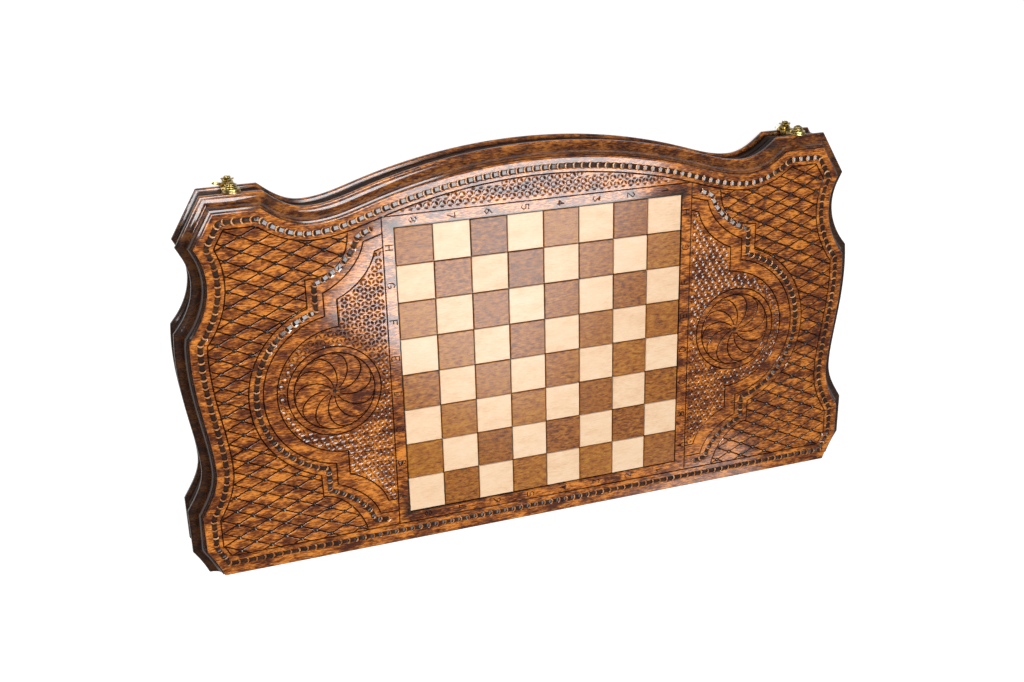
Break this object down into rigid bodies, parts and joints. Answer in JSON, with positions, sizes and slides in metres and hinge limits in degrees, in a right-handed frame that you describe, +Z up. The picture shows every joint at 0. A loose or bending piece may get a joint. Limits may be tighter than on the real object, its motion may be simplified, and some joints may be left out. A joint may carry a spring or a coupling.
{
  "type": "backgammon board",
  "caption": "Folding carved wooden game board: hinged trays with a moulded curved outline, chess field outside, backgammon points inside, closed by swing-hook latches.",
  "frame": {"origin": "on the resting face of the back half, under the middle of the chess field", "axes": "+X along the hinge edge, +Y from the hinge edge to the latches, +Z up through the closed halves to the chess field"},
  "size_m": [0.6072, 0.331, 0.052],
  "materials": {
    "carved_stained_beech": "carved, stained mottled brown and varnished to a gloss",
    "stained_beech_rail": "dark stain under gloss varnish",
    "tray_board": "satin varnished plywood",
    "pale_veneer": "satin varnished veneer",
    "dark_veneer": "satin varnished stained veneer",
    "pale_beech": "clear varnished beech",
    "dark_stained_beech": "mottled brown stain under gloss varnish",
    "hinge_brass": "plain rolled brass",
    "pin_steel": "drawn steel wire",
    "aged_brass": "cast brass, darkened in the hollows"
  },
  "bodies": {
    "back_half": {"back_panel": "carved_stained_beech", "back_hinge_rail": "stained_beech_rail", "back_arch_rail": "stained_beech_rail", "back_left_rail": "stained_beech_rail", "back_right_rail": "stained_beech_rail", "back_playing_field": "tray_board", "back_light_points": "pale_veneer", "back_dark_points": "dark_veneer", "back_left_checker_strip": "stained_beech_rail", "back_right_checker_strip": "stained_beech_rail", "left_hinge_back_leaf": "hinge_brass", "right_hinge_back_leaf": "hinge_brass", "left_hinge_pin": "pin_steel", "right_hinge_pin": "pin_steel", "back_hinge_screws": "hinge_brass", "left_hook_plate": "aged_brass", "right_hook_plate": "aged_brass", "left_hook_pivot": "aged_brass", "right_hook_pivot": "aged_brass", "back_latch_screws": "aged_brass"},
    "front_half": {"front_panel": "carved_stained_beech", "front_hinge_rail": "stained_beech_rail", "front_arch_rail": "stained_beech_rail", "front_left_rail": "stained_beech_rail", "front_right_rail": "stained_beech_rail", "front_playing_field": "tray_board", "front_light_points": "pale_veneer", "front_dark_points": "dark_veneer", "front_left_checker_strip": "stained_beech_rail", "front_right_checker_strip": "stained_beech_rail", "light_chess_squares": "pale_beech", "dark_chess_squares": "dark_stained_beech", "left_hinge_front_leaf": "hinge_brass", "right_hinge_front_leaf": "hinge_brass", "front_hinge_screws": "hinge_brass", "left_post_plate": "aged_brass", "right_post_plate": "aged_brass", "left_post": "aged_brass", "right_post": "aged_brass", "front_latch_screws": "aged_brass"},
    "left_hook_body": {"left_hook": "aged_brass"},
    "right_hook_body": {"right_hook": "aged_brass"}
  },
  "joints": [
    {"name": "fold", "type": "hinge", "parent": "back_half", "child": "front_half", "pos_m": [0, -0.151, 0.026], "axis": [1, 0, 0], "range_deg": [0, 180]},
    {"name": "left_hook_swing", "type": "hinge", "parent": "back_half", "child": "left_hook_body", "pos_m": [-0.24225, 0.1636, 0.0155], "axis": [0, 1, 0], "range_deg": [0, 90]},
    {"name": "right_hook_swing", "type": "hinge", "parent": "back_half", "child": "right_hook_body", "pos_m": [0.24225, 0.1636, 0.0155], "axis": [0, 1, 0], "range_deg": [0, 90]}
  ]
}
